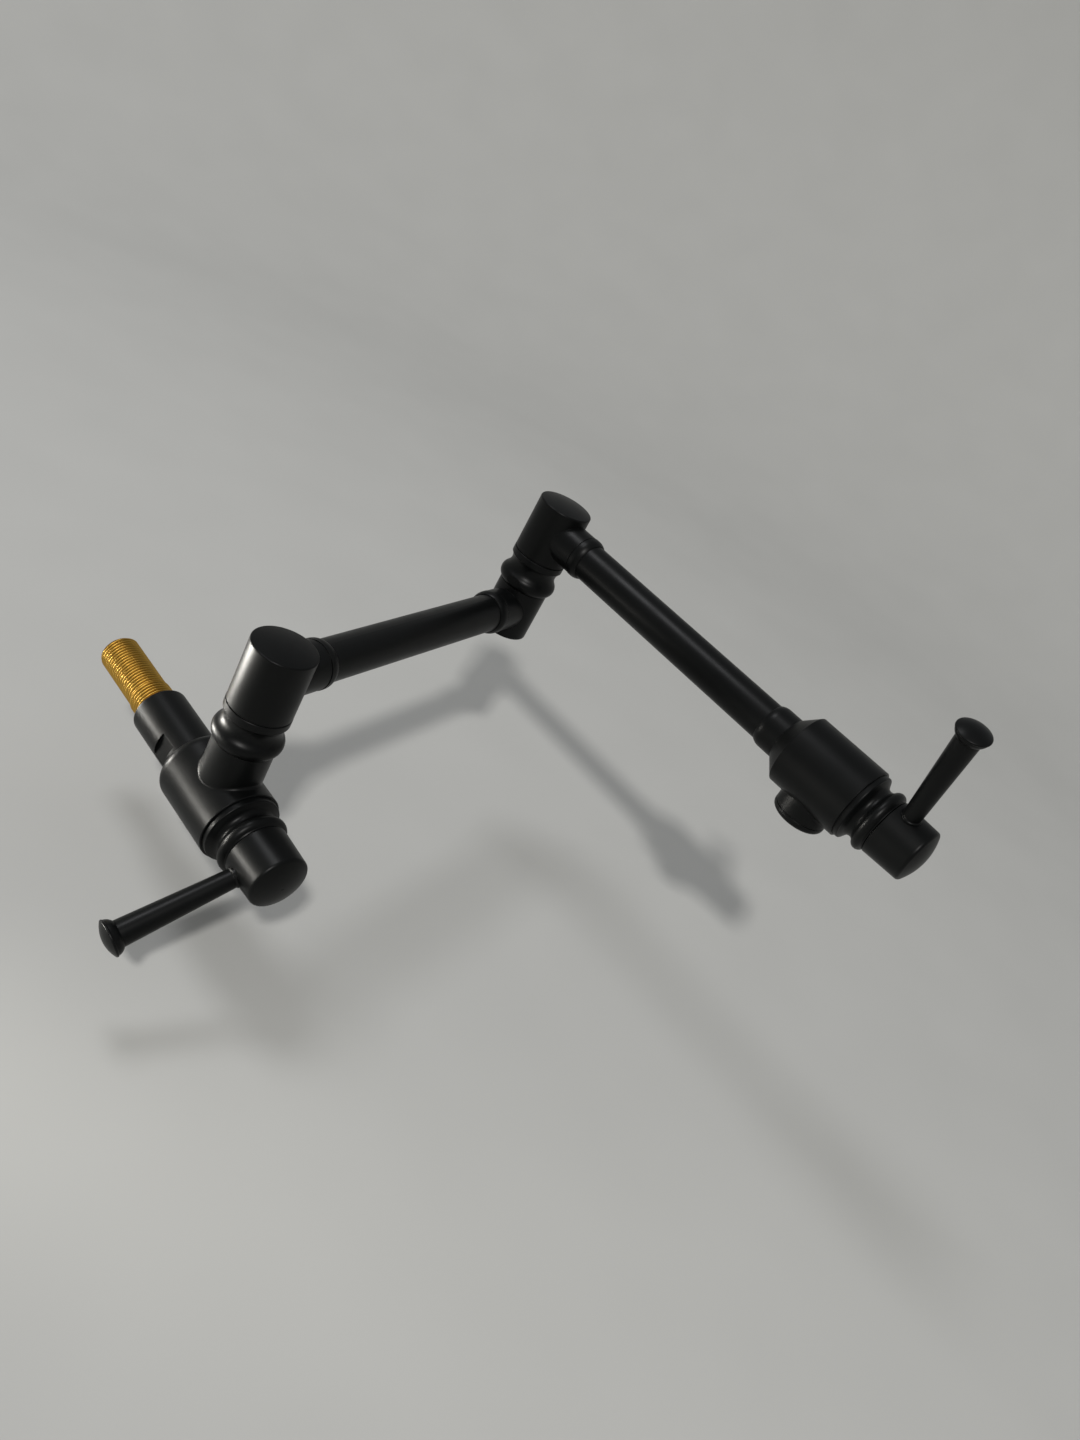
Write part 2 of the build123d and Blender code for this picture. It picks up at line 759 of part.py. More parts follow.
with BuildPart() as inlet_adaptor:
    with BuildSketch(outline_plane(inlet_seat)):
        with BuildLine():
            wall = Polyline(
                (adaptor_bore, adaptor_front - adaptor_spigot_length),
                (adaptor_spigot_radius, adaptor_front - adaptor_spigot_length),
                (adaptor_spigot_radius, adaptor_front),
                (adaptor_radius - union_edge, adaptor_front),
                (adaptor_radius, adaptor_front + union_edge),
                (adaptor_radius, adaptor_rear - adaptor_edge),
            )
            edge = CenterArc(
                (adaptor_radius - adaptor_edge, adaptor_rear - adaptor_edge), adaptor_edge, 0, 90
            )
            Polyline(
                edge @ 1,
                (shoulder_radius + seated, adaptor_rear),
                (shoulder_radius + seated, nipple_start - seated),
                (adaptor_bore, nipple_start - seated),
                wall @ 0,
            )
        make_face()
    revolve(axis=turning_axis(inlet_seat))
    with BuildSketch(outline_plane(inlet_seat)):
        with Locations((adaptor_spigot_radius, adaptor_front - adaptor_spigot_length / 2)):
            Rectangle(2 * (adaptor_spigot_radius - adaptor_groove), groove_width)
    revolve(axis=turning_axis(inlet_seat), mode=Mode.SUBTRACT)
    flats_centre = adaptor_front + flats_from_body + flats_length / 2
    for side in (0, 180):
        with BuildSketch(tilted(inlet_seat, flats_centre, side + flats_tilt).offset(flats_across / 2)):
            Rectangle(flats_length, 2 * adaptor_radius)
        extrude(amount=adaptor_radius, mode=Mode.SUBTRACT)

adaptor_o_ring = o_ring(
    inlet_seat,
    adaptor_front - adaptor_spigot_length / 2,
    adaptor_spigot_radius - large_ring_section,
    large_ring_section,
)

# ---------------------------------------------------------------- main valve
with BuildPart() as main_valve_body:
    with BuildSketch(outline_plane(main_front)):
        with BuildLine():
            rear = -front_length - rear_length
            wall = Polyline(
                (0, 0),
                (body_radius - body_edge, 0),
                (body_radius, -body_edge),
                (body_radius, rear + rear_round),
            )
            shoulder = CenterArc((body_radius - rear_round, rear + rear_round), rear_round, 0, -90)
            Polyline(shoulder @ 1, (0, rear), wall @ 0)
        make_face()
    revolve(axis=turning_axis(main_front))
    with BuildSketch(Plane(origin=body_centre, x_dir=(1, 0, 0), z_dir=up)):
        Circle(branch_radius)
    extrude(amount=branch_height)
    fillet(main_valve_body.edges().filter_by(GeomType.BSPLINE), foot_fillet)
    valve_bore(main_front)
    with BuildSketch(main_front.offset(rear - overrun)):
        Circle(adaptor_spigot_radius + seated)
    extrude(amount=-rear - valve_seat_depth - valve_seat_wall + overrun, mode=Mode.SUBTRACT)
    union_socket(lower_seam, branch_bore, branch_height)

main_bonnet = bonnet(main_front)
main_cartridge_housing = cartridge_housing(main_front)
main_cartridge_seal = flat_ring(main_front, -valve_seat_depth, seal_thickness, disc_radius, seal_bore)
main_fixed_disc = ported_disc(main_front, fixed_disc_back, 0)
main_cartridge_nut = cartridge_nut(main_front)

# ---------------------------------------------------------------- main handle
main_handle_hub = handle_hub(main_front, main_lever_angle)
main_lever = lever(main_front, main_lever_angle)
main_cartridge_stem = cartridge_stem(main_front, main_lever_angle)
main_moving_disc = ported_disc(main_front, moving_disc_back, 90)
main_stem_o_ring = stem_ring(main_front)

# ---------------------------------------------------------------- lower swivel
lower_union = swivel_union(lower_seam)
lower_union_seal = union_seal(lower_seam)
lower_spigot_rings = spigot_rings(lower_seam)
lower_thrust_washer = thrust_washer(lower_seam)
lower_retaining_ring = retaining_ring(lower_seam)

# ---------------------------------------------------------------- first arm
arm_1_head = swivel_head(lower_head)
arm_1_start = lower_head.origin + up * arm_height
arm_1_tube = arm_tube(
    arm_1_start + arm_1_way * socket_bottom, arm_1_way, elbow_reach - 2 * socket_bottom
)

elbow_foot = Plane(origin=elbow_centre, x_dir=-arm_1_way, z_dir=-up)
elbow_arm = Plane(origin=elbow_centre, x_dir=up, z_dir=-arm_1_way)
elbow_passage = elbow_half_height - union_stub_length - union_seal_thickness - elbow_seat_wall

with BuildPart() as arm_1_end:
    with BuildSketch(outline_plane(elbow_foot)):
        with BuildLine():
            wall = Polyline(
                (0, -elbow_half_height),
                (branch_radius, -elbow_half_height),
                (branch_radius, elbow_half_height - elbow_edge),
            )
            rim, crown = domed_end(branch_radius, elbow_half_height - elbow_edge, elbow_edge, elbow_dome)
            Line(crown @ 1, wall @ 0)
        make_face()
    revolve(axis=turning_axis(elbow_foot))
    collar(elbow_arm)
    tube_socket(elbow_arm, elbow_passage)
    union_socket(upper_seam, elbow_passage, elbow_half_height)

# ---------------------------------------------------------------- second swivel
upper_union = swivel_union(upper_seam)
upper_union_seal = union_seal(upper_seam)
upper_spigot_rings = spigot_rings(upper_seam)
upper_thrust_washer = thrust_washer(upper_seam)
upper_retaining_ring = retaining_ring(upper_seam)

# ---------------------------------------------------------------- second arm
arm_2_head = swivel_head(upper_head)
tube_end = outlet_reach + outlet_from_front - outlet_socket_end
arm_2_tube = arm_tube(arm_2_start + arm_2_way * socket_bottom, arm_2_way, tube_end - socket_bottom)

with BuildPart() as outlet_valve_body:
    with BuildSketch(outline_plane(outlet_front)):
        with BuildLine():
            wall = Polyline(
                (0, 0),
                (body_radius - body_edge, 0),
                (body_radius, -body_edge),
                (body_radius, body_edge - outlet_body_length),
                (body_radius - body_edge, -outlet_body_length),
                (collar_radius, collar_radius - body_radius + body_edge - outlet_body_length),
                (collar_radius, outlet_collar_round - outlet_collar_start),
            )
            nose = TangentArc(
                wall @ 1, (tube_radius + seated + collar_lip, -outlet_collar_start), tangent=(0, -1)
            )
            Polyline(nose @ 1, (0, -outlet_collar_start), wall @ 0)
        make_face()
    revolve(axis=turning_axis(outlet_front))
    with BuildSketch(outlet_down):
        Circle(outlet_radius)
    extrude(amount=outlet_boss_depth)
    fillet(outlet_valve_body.edges().filter_by(GeomType.BSPLINE), outlet_fillet)
    boss_rim = outlet_valve_body.edges().filter_by(GeomType.CIRCLE).sort_by(Axis.Z)[0]
    chamfer(boss_rim, aerator_seam)
    valve_bore(outlet_front)
    with BuildSketch(outlet_front.offset(-outlet_collar_start)):
        Circle(outlet_passage)
    extrude(amount=outlet_collar_start - valve_seat_depth - valve_seat_wall, mode=Mode.SUBTRACT)
    with BuildSketch(outlet_front.offset(-outlet_collar_start)):
        Circle(tube_radius + seated)
    extrude(amount=outlet_collar_start - outlet_socket_end, mode=Mode.SUBTRACT)
    with BuildSketch(outlet_down):
        Circle(outlet_bore)
    extrude(amount=outlet_boss_depth, mode=Mode.SUBTRACT)
    with BuildSketch(outlet_down.offset(outlet_boss_depth)):
        Circle(aerator_thread_radius + seated)
    extrude(amount=-aerator_thread_length - aerator_washer_thickness, mode=Mode.SUBTRACT)

outlet_bonnet = bonnet(outlet_front)
outlet_cartridge_housing = cartridge_housing(outlet_front)
outlet_cartridge_seal = flat_ring(outlet_front, -valve_seat_depth, seal_thickness, disc_radius, seal_bore)
outlet_fixed_disc = ported_disc(outlet_front, fixed_disc_back, 0)
outlet_cartridge_nut = cartridge_nut(outlet_front)

# ---------------------------------------------------------------- aerator
insert_top = aerator_bottom - aerator_lip - aerator_insert_height

with BuildPart() as aerator_housing:
    with BuildSketch(outline_plane(outlet_down)):
        with BuildLine():
            wall = Polyline(
                (aerator_bore, outlet_boss_depth - aerator_thread_length),
                (aerator_thread_radius, outlet_boss_depth - aerator_thread_length),
                (aerator_thread_radius, outlet_boss_depth),
                (outlet_radius - aerator_seam, outlet_boss_depth),
                (outlet_radius, outlet_boss_depth + aerator_seam),
                (outlet_radius, aerator_bottom - aerator_edge),
            )
            edge = CenterArc(
                (outlet_radius - aerator_edge, aerator_bottom - aerator_edge), aerator_edge, 0, 90
            )
            Polyline(
                edge @ 1,
                (aerator_mouth, aerator_bottom),
                (aerator_mouth, aerator_bottom - aerator_lip),
                (aerator_bore, aerator_bottom - aerator_lip),
                wall @ 0,
            )
        make_face()
    revolve(axis=turning_axis(outlet_down))

with BuildPart() as aerator_insert:
    with BuildSketch(outlet_down.offset(insert_top)):
        Circle(aerator_bore - seated)
        with HexLocations(aerator_hole_pitch / sqrt(3), aerator_hole_rows, aerator_hole_rows):
            Circle(aerator_hole_radius, mode=Mode.SUBTRACT)
    extrude(amount=aerator_insert_height)

aerator_washer = flat_ring(
    outlet_down,
    outlet_boss_depth - aerator_thread_length - aerator_washer_thickness,
    aerator_washer_thickness,
    aerator_thread_radius - air,
    aerator_bore - aerator_washer_ledge,
)

# ---------------------------------------------------------------- outlet handle
outlet_handle_hub = handle_hub(outlet_front, outlet_lever_angle)
outlet_lever = lever(outlet_front, outlet_lever_angle)
outlet_cartridge_stem = cartridge_stem(outlet_front, outlet_lever_angle)
outlet_moving_disc = ported_disc(outlet_front, moving_disc_back, 90)
outlet_stem_o_ring = stem_ring(outlet_front)

# ---------------------------------------------------------------- files
pieces = {
    "inlet_nipple": inlet_nipple,
    "inlet_adaptor": inlet_adaptor,
    "adaptor_o_ring": adaptor_o_ring,
    "main_valve_body": main_valve_body,
    "main_bonnet": main_bonnet,
    "main_cartridge_housing": main_cartridge_housing,
    "main_cartridge_seal": main_cartridge_seal,
    "main_fixed_disc": main_fixed_disc,
    "main_cartridge_nut": main_cartridge_nut,
    "main_handle_hub": main_handle_hub,
    "main_lever": main_lever,
    "main_cartridge_stem": main_cartridge_stem,
    "main_moving_disc": main_moving_disc,
    "main_stem_o_ring": main_stem_o_ring,
    "lower_union": lower_union,
    "lower_union_seal": lower_union_seal,
    "lower_spigot_o_rings": lower_spigot_rings,
    "lower_thrust_washer": lower_thrust_washer,
    "lower_retaining_ring": lower_retaining_ring,
    "arm_1_head": arm_1_head,
    "arm_1_tube": arm_1_tube,
    "arm_1_end": arm_1_end,
    "upper_union": upper_union,
    "upper_union_seal": upper_union_seal,
    "upper_spigot_o_rings": upper_spigot_rings,
    "upper_thrust_washer": upper_thrust_washer,
    "upper_retaining_ring": upper_retaining_ring,
    "arm_2_head": arm_2_head,
    "arm_2_tube": arm_2_tube,
    "outlet_valve_body": outlet_valve_body,
    "outlet_bonnet": outlet_bonnet,
    "outlet_cartridge_housing": outlet_cartridge_housing,
    "outlet_cartridge_seal": outlet_cartridge_seal,
    "outlet_fixed_disc": outlet_fixed_disc,
    "outlet_cartridge_nut": outlet_cartridge_nut,
    "aerator_housing": aerator_housing,
    "aerator_insert": aerator_insert,
    "aerator_washer": aerator_washer,
    "outlet_handle_hub": outlet_handle_hub,
    "outlet_lever": outlet_lever,
    "outlet_cartridge_stem": outlet_cartridge_stem,
    "outlet_moving_disc": outlet_moving_disc,
    "outlet_stem_o_ring": outlet_stem_o_ring,
}
os.makedirs("parts", exist_ok=True)
for name, piece in pieces.items():
    piece.part.label = name
    export_step(piece.part, f"parts/{name}.step")
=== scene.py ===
# %% [markdown]
# # A wall mounted pot filler, finished for the camera
#
# The real object is a kitchen tap on two swinging arms. Every part that shows is brass under a
# thin satin black lacquer, apart from the inlet nipple, which is bare brass. Its shapes come
# ready made from the CAD model, in metres, with the wall's face at Y = 0 and the swivels along Z.
# This lesson keeps those shapes, cuts true helical threads for the nipple, gives every surface
# its finish, and then sets up the floor, the lamps and the camera.

import math

import bpy
from mathutils import Matrix, Vector


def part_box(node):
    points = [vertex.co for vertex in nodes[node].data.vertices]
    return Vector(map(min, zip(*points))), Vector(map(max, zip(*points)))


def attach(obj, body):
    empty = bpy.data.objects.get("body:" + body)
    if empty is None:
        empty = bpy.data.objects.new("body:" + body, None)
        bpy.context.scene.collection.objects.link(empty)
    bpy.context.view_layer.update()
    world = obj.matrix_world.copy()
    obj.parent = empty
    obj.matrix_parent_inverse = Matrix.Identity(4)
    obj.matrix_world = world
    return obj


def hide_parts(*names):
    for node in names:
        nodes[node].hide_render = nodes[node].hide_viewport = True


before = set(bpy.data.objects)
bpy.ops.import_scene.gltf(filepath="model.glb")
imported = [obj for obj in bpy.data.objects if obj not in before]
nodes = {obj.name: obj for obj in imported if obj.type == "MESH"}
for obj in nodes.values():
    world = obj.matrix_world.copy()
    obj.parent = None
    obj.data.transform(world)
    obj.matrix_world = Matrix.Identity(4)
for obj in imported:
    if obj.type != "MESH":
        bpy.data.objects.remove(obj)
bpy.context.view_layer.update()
slot_of = {name: node.data.materials[0].name for name, node in nodes.items()}
print("finishes:", sorted(set(slot_of.values())))

# %% [markdown]
# ## The camera
#
# The photograph was taken with a phone, held above the tap and to its left, so the tap leans in
# the picture. A camera can be moved by eye until the outlines agree, but a wrong lens still
# changes the proportions. So its place, its directions and its lens were worked out from the
# edges of the round parts. The sensor's width goes with the picture's long side.

# %% Camera
camera_place = Vector((-0.304847, -0.403893, 0.360027))
camera_right = Vector((0.661928, -0.601302, 0.447534))
camera_up = Vector((0.076184, 0.647934, 0.757877))
camera_turn = Matrix((camera_right, camera_up, camera_right.cross(camera_up))).transposed()

bpy.ops.object.select_all(action="DESELECT")
bpy.ops.object.camera_add(location=camera_place, rotation=camera_turn.to_euler())
camera = bpy.context.object
camera.name = "camera"
camera.data.sensor_width = 36
camera.data.lens = 28.299
camera.data.clip_start = 0.01
camera.data.clip_end = 20
bpy.context.scene.camera = camera
print("the camera is", round(camera_place.length, 3), "m from the wall fitting")

# %% [markdown]
# ## Modelling helpers
#
# A turned piece starts as one vertex. It is pulled along half of the piece's outline, as a lathe
# tool would travel, and a Screw modifier carries that line round the axis. With a pitch, the
# same modifier makes a thread. Joining and trimming is left to the Boolean modifier, which needs
# closed shapes with their faces outwards, so every shape is closed and checked first.

# %% Modelling helpers
MM = 0.001
STEPS = 96
MERGE = 1e-6


def finish_modifier(piece, kind, **settings):
    """Add one modifier with its settings and apply it."""
    modifier = piece.modifiers.new(kind.lower(), kind)
    for name, value in settings.items():
        setattr(modifier, name, value)
    bpy.context.view_layer.objects.active = piece
    bpy.ops.object.modifier_apply(modifier=modifier.name)


def volume(piece):
    """The volume inside a closed mesh, below zero if its faces point inwards."""
    piece.data.calc_loop_triangles()
    total = 0
    for triangle in piece.data.loop_triangles:
        a, b, c = (piece.data.vertices[i].co for i in triangle.vertices)
        total += a.dot(b.cross(c)) / 6
    return total


def close_up(piece):
    """Join doubled vertices, fill open ends and turn the faces outwards."""
    bpy.ops.object.mode_set(mode="EDIT")
    bpy.ops.mesh.select_mode(type="EDGE")
    bpy.ops.mesh.select_all(action="SELECT")
    bpy.ops.mesh.remove_doubles(threshold=MERGE)
    bpy.ops.mesh.select_all(action="DESELECT")
    bpy.ops.mesh.select_non_manifold()
    bpy.ops.mesh.fill_holes(sides=0)
    bpy.ops.mesh.select_all(action="SELECT")
    bpy.ops.mesh.normals_make_consistent(inside=False)
    bpy.ops.object.mode_set(mode="OBJECT")
    if volume(piece) < 0:
        piece.data.flip_normals()


def pull_outline(name, outline):
    """Pull one vertex along (radius, height) points in millimetres, in the plane of X and Y."""
    points = [Vector((radius, height, 0)) * MM for radius, height in outline]
    bpy.ops.object.select_all(action="DESELECT")
    bpy.ops.mesh.primitive_plane_add(size=MM)
    piece = bpy.context.object
    piece.name = name
    piece.data.name = name
    bpy.ops.object.mode_set(mode="EDIT")
    bpy.ops.mesh.select_mode(type="VERT")
    bpy.ops.mesh.merge(type="CENTER")
    bpy.ops.transform.translate(value=points[0])
    for start, end in zip(points, points[1:]):
        bpy.ops.mesh.extrude_region_move(TRANSFORM_OT_translate={"value": end - start})
    bpy.ops.object.mode_set(mode="OBJECT")
    return piece


def turn_round(piece, pitch=0, turns=1):
    """Carry an outline round the Y axis, climbing by the pitch in each turn."""
    finish_modifier(
        piece,
        "SCREW",
        axis="Y",
        angle=math.tau,
        screw_offset=pitch * MM,
        iterations=turns,
        steps=STEPS,
        render_steps=STEPS,
    )
    close_up(piece)
    return piece


def combine(piece, other, operation):
    """Join, cut or trim one closed piece by another, which is used up."""
    finish_modifier(piece, "BOOLEAN", operation=operation, object=other, solver="MANIFOLD")
    bpy.data.objects.remove(other)


# %% [markdown]
# ## The inlet nipple
#
# The nipple is a length of half inch brass pipe with a parallel thread of 14 turns to the inch,
# screwed into the adaptor. Its last 11 mm before the adaptor are threaded a little larger. The
# CAD model has rings in place of the helix, which is enough for fitting it to a wall. Up close a
# real thread runs out at the pipe's end and its crests are rounded by the die, so here one pitch
# of the rounded outline is pulled, carried round as a screw, trimmed between turned blanks, and
# bored. A texture could fake the ridges, but their edge would still be straight.

# %% One thread
PITCH = 25.4 / 14
DEPTH = 1.16
ROUNDING = 0.12
FLAT = PITCH / 12
# Two short steps stand for each rounded corner: this far down it, then this far
CORNER_START = ROUNDING * 0.3
CORNER_END = ROUNDING * 1.4


def thread(name, crest, start, turns):
    """A closed helix with rounded crests and roots, longer than it will be used."""
    root = crest - DEPTH
    half = [
        (crest, 0),
        (crest - CORNER_START, FLAT),
        (crest - CORNER_END, FLAT + ROUNDING),
        (root + CORNER_END, PITCH / 2 - FLAT - ROUNDING),
        (root + CORNER_START, PITCH / 2 - FLAT),
        (root, PITCH / 2),
    ]
    mirrored = [(radius, PITCH - height) for radius, height in reversed(half[:-1])]
    outline = [(radius, start + height) for radius, height in half + mirrored]
    return turn_round(pull_outline(name, outline), PITCH, turns)


print("one turn climbs", round(PITCH, 3), "mm")

# %% Cut both threads, trim them and bore the pipe
low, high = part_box("inlet_nipple")
inner_end, outer_end = low.y / MM, high.y / MM
SHOULDER_CREST = high.x / MM
THREAD_CREST = 10.48
CHAMFER = 1.0
BORE = 7.5
# The blanks and the bore reach this far past whatever they trim
CLEAR = 12.0
# Each helix starts two turns early and runs past the other end, so that it is trimmed clean
EARLY = 2 * PITCH
MAIN_TURNS = 24
SHOULDER_TURNS = 19

nipple = thread("nipple_thread", THREAD_CREST, -EARLY, MAIN_TURNS)
main_blank = [
    (0, -CHAMFER),
    (CLEAR, -CHAMFER),
    (CLEAR, outer_end - CHAMFER - CLEAR + THREAD_CREST),
    (THREAD_CREST - CHAMFER, outer_end),
    (0, outer_end),
]
combine(nipple, turn_round(pull_outline("main_blank", main_blank)), "INTERSECT")

shoulder = thread("shoulder_thread", SHOULDER_CREST, inner_end - EARLY, SHOULDER_TURNS)
shoulder_blank = [
    (0, inner_end),
    (CLEAR, inner_end),
    (CLEAR, SHOULDER_CREST - CLEAR - CHAMFER / 2),
    (SHOULDER_CREST - CHAMFER / 2, 0),
    (0, 0),
]
combine(shoulder, turn_round(pull_outline("shoulder_blank", shoulder_blank)), "INTERSECT")
combine(nipple, shoulder, "UNION")
bore_ends = (inner_end - CLEAR, outer_end + CLEAR)
bore = [(0, bore_ends[0]), (BORE, bore_ends[0]), (BORE, bore_ends[1]), (0, bore_ends[1])]
combine(nipple, turn_round(pull_outline("bore", bore)), "DIFFERENCE")
print("nipple:", len(nipple.data.polygons), "faces,", round(volume(nipple) / MM**3), "cubic mm")

# %% Smooth the nipple and put it in the CAD nipple's place
SMOOTH_BELOW = math.radians(38)

bpy.ops.object.select_all(action="DESELECT")
nipple.select_set(True)
bpy.context.view_layer.objects.active = nipple
bpy.ops.object.shade_smooth_by_angle(angle=SMOOTH_BELOW)
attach(nipple, "root")
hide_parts("inlet_nipple")
print("nipple from", round(inner_end, 2), "to", round(outer_end, 2), "mm along the inlet")

# %% [markdown]
# ## Helpers for materials
#
# A material is a small graph of nodes. One function adds a node with its properties, its values
# and its links, so a graph reads from top to bottom. Colours are the hex values of a colour
# picker, which are sRGB, and one function turns them into the linear light that the renderer
# works in. A pattern's size is written in millimetres and turned into a scale.


# %% Colour and node helpers
def linear(hex_colour):
    """The linear RGBA of an sRGB hex colour."""
    channels = [int(hex_colour[i : i + 2], 16) / 255 for i in (1, 3, 5)]
    return [c / 12.92 if c <= 0.04045 else ((c + 0.055) / 1.055) ** 2.4 for c in channels] + [1]


def per_metre(millimetres):
    """The texture scale whose features are about this many millimetres across."""
    return 1 / (millimetres * MM)


def bands_per_metre(millimetres):
    """The wave texture's scale for bands this many millimetres apart."""
    return math.tau / 20 * per_metre(millimetres)


def add_node(tree, kind, inputs=None, **settings):
    """Add a node: settings are its properties, inputs are plain values or other outputs."""
    node = tree.nodes.new(kind)
    for name, value in settings.items():
        setattr(node, name, value)
    for socket, value in (inputs or {}).items():
        if isinstance(value, bpy.types.NodeSocket):
            tree.links.new(value, node.inputs[socket])
        else:
            node.inputs[socket].default_value = value
    return node


def new_material(name, **shader_inputs):
    """A material with a Principled shader, and Object coordinates to hang patterns on."""
    material = bpy.data.materials.new(name)
    material.use_nodes = True
    tree = material.node_tree
    tree.nodes.clear()
    inputs = {socket.replace("_", " "): value for socket, value in shader_inputs.items()}
    shader = add_node(tree, "ShaderNodeBsdfPrincipled", inputs)
    add_node(tree, "ShaderNodeOutputMaterial", {"Surface": shader.outputs["BSDF"]})
    place = add_node(tree, "ShaderNodeTexCoord").outputs["Object"]
    return material, tree, shader, place


def stretched(noise, low, high):
    """Map Range inputs that stretch the middle of a noise over the range from low to high."""
    middle = {"From Min": 0.3, "From Max": 0.7}
    return {"Value": noise.outputs["Fac"], **middle, "To Min": low, "To Max": high}


def noise_of(place, millimetres, detail):
    """Noise inputs for features of about this size."""
    return {"Vector": place, "Scale": per_metre(millimetres), "Detail": detail}


print("sRGB #808080 is", round(linear("#808080")[0], 3), "in linear light")

# %% [markdown]
# ## Satin black lacquer
#
# The visible parts are turned or cast brass, dipped in a black electrophoretic lacquer and
# baked. The film is a few hundredths of a millimetre thick. It rounds the sharpest edges and has
# a very fine orange peel, so the eye gets a deep black with a soft, wide sheen and thin bright
# lines along the rims. The peel is about 0.4 mm across, and the film's drift, over centimetres,
# makes the sheen a little uneven. A Bevel node rounds the edges in the shading alone, which
# leaves the CAD model's own shapes as they are. The specular level was chosen against the
# photograph and is lower than a real lacquer's.

# %% Satin black lacquer
PEEL = 0.4
DRIFT = 16
EDGE = 0.35
FINE_RELIEF = 0.01 * MM

lacquer, tree, shader, place = new_material(
    "satin_black_lacquer", Base_Color=linear("#080909"), Specular_IOR_Level=0.13
)
peel = add_node(tree, "ShaderNodeTexNoise", noise_of(place, PEEL, 2))
drift = add_node(tree, "ShaderNodeTexNoise", noise_of(place, DRIFT, 3))
film = add_node(tree, "ShaderNodeMapRange", stretched(drift, 0.34, 0.4))
edge = add_node(tree, "ShaderNodeBevel", {"Radius": EDGE * MM}, samples=4)
bump = add_node(
    tree,
    "ShaderNodeBump",
    {
        "Strength": 0.3,
        "Distance": FINE_RELIEF,
        "Height": peel.outputs["Fac"],
        "Normal": edge.outputs["Normal"],
    },
)
tree.links.new(film.outputs["Result"], shader.inputs["Roughness"])
tree.links.new(bump.outputs["Normal"], shader.inputs["Normal"])
print(lacquer.name, "has", len(tree.nodes), "nodes")

# %% [markdown]
# ## Bare brass
#
# The nipple is free-cutting brass straight from the thread die: a deep yellow metal, bright
# where it catches a lamp, with faint turning marks and a dark brown painted shade in the roots.
# The marks are really under 0.1 mm apart, which would not show, so they are drawn 0.3 mm apart.
# The painted shade follows the radius from the pipe's axis, which is the Y axis, and the
# shoulder, where Y is below zero, is measured from its own, larger crests.

# %% Bare brass
MARKS = 0.3
BLOOM = 5

brass, tree, shader, place = new_material("die_cut_brass", Metallic=1)
bloom = add_node(tree, "ShaderNodeTexNoise", noise_of(place, BLOOM, 2))
from_axis = add_node(tree, "ShaderNodeVectorMath", {0: place, 1: (1, 0, 1)}, operation="MULTIPLY")
radius = add_node(tree, "ShaderNodeVectorMath", {0: from_axis.outputs[0]}, operation="LENGTH")
along = add_node(tree, "ShaderNodeSeparateXYZ", {"Vector": place})
is_shoulder = add_node(tree, "ShaderNodeMath", {0: along.outputs["Y"], 1: 0}, operation="LESS_THAN")
extra = (THREAD_CREST - SHOULDER_CREST) * MM
above_thread = add_node(
    tree,
    "ShaderNodeMath",
    {0: is_shoulder.outputs["Value"], 1: extra, 2: radius.outputs["Value"]},
    operation="MULTIPLY_ADD",
)
# Painted shade: this mask darkens the colour towards the thread roots, where shade falls.
root_shade_fade = add_node(
    tree,
    "ShaderNodeMapRange",
    {
        "Value": above_thread.outputs["Value"],
        "From Min": (THREAD_CREST - DEPTH) * MM,
        "From Max": (THREAD_CREST - DEPTH / 3) * MM,
    },
)
clean = add_node(
    tree,
    "ShaderNodeMix",
    {"Factor": bloom.outputs["Fac"], "A": linear("#c8a04b"), "B": linear("#bd9542")},
    data_type="RGBA",
)
# The dark brown #3c2a10 is painted shade in the thread roots.
tone = add_node(
    tree,
    "ShaderNodeMix",
    {"Factor": root_shade_fade.outputs["Result"], "A": linear("#3c2a10"), "B": clean.outputs["Result"]},
    data_type="RGBA",
)
marks = add_node(
    tree,
    "ShaderNodeTexWave",
    {"Vector": place, "Scale": bands_per_metre(MARKS), "Distortion": 1.5, "Detail": 2},
    bands_direction="Y",
)
bump = add_node(
    tree,
    "ShaderNodeBump",
    {"Strength": 0.06, "Distance": FINE_RELIEF, "Height": marks.outputs["Fac"]},
)
sheen = add_node(tree, "ShaderNodeMapRange", stretched(bloom, 0.36, 0.4))
tree.links.new(tone.outputs["Result"], shader.inputs["Base Color"])
tree.links.new(sheen.outputs["Result"], shader.inputs["Roughness"])
tree.links.new(bump.outputs["Normal"], shader.inputs["Normal"])
nipple.data.materials.clear()
nipple.data.materials.append(brass)
print(brass.name, "has", len(tree.nodes), "nodes")

# %% [markdown]
# ## The pieces inside
#
# The cartridges, seals and washers only show through a gap or in a cutaway, but each has its
# own finish. They share a pattern: a base colour that drifts a little between two tones, and a
# fine grain, whose sizes come from how each is made. A small table holds what differs.

# %% Finishes of the pieces inside
INNER_DRIFT = 4
ROUGHNESS_CHANGE = 0.03
